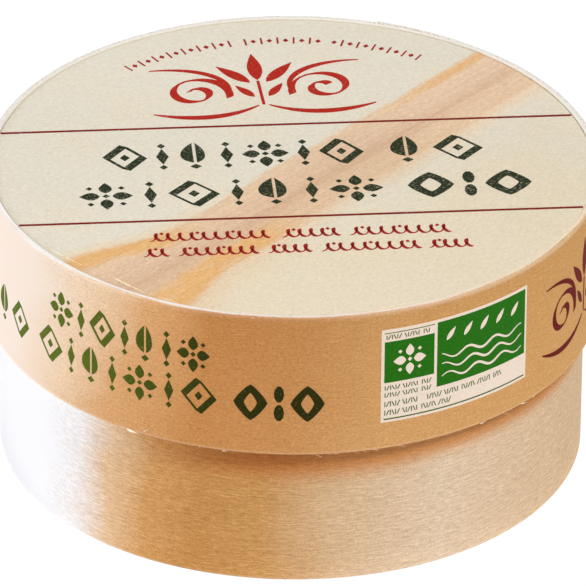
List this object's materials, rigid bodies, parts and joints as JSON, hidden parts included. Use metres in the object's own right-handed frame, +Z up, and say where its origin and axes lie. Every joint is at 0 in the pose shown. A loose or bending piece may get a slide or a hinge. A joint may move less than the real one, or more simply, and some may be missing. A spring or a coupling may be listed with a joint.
{
  "type": "round wooden cheese box",
  "caption": "Shut round cheese box of bent wood veneer: a deep lid with a flat printed board sits over a slightly narrower base.",
  "frame": {"origin": "the middle of the foot, on the surface that the box stands on", "axes": "+Z is up along the box's axis; -Y is the front, towards the printed side of the lid's hoop; +X is to the right; the hoops' lapped joints are at the back"},
  "size_m": [0.115, 0.115, 0.0575],
  "materials": {
    "lid_board_wood": "pale sanded poplar board with a pink-tan heartwood streak, matt",
    "lid_veneer": "warm tan peeled veneer, matt, grain round the hoop",
    "base_veneer": "pale tan peeled veneer, matt, fine grain round the hoop",
    "bottom_wood": "pale unprinted board, matt",
    "red_ink": "brick-red ink printed on wood",
    "green_ink": "dark green ink printed on wood",
    "panel_ink": "pale undercoat printed on wood",
    "bright_green_ink": "mid green ink printed on wood"
  },
  "bodies": {
    "root": {"lid_board": "lid_board_wood", "lid_hoop": "lid_veneer", "base_hoop": "base_veneer", "base_body": "bottom_wood"}
  },
  "joints": []
}
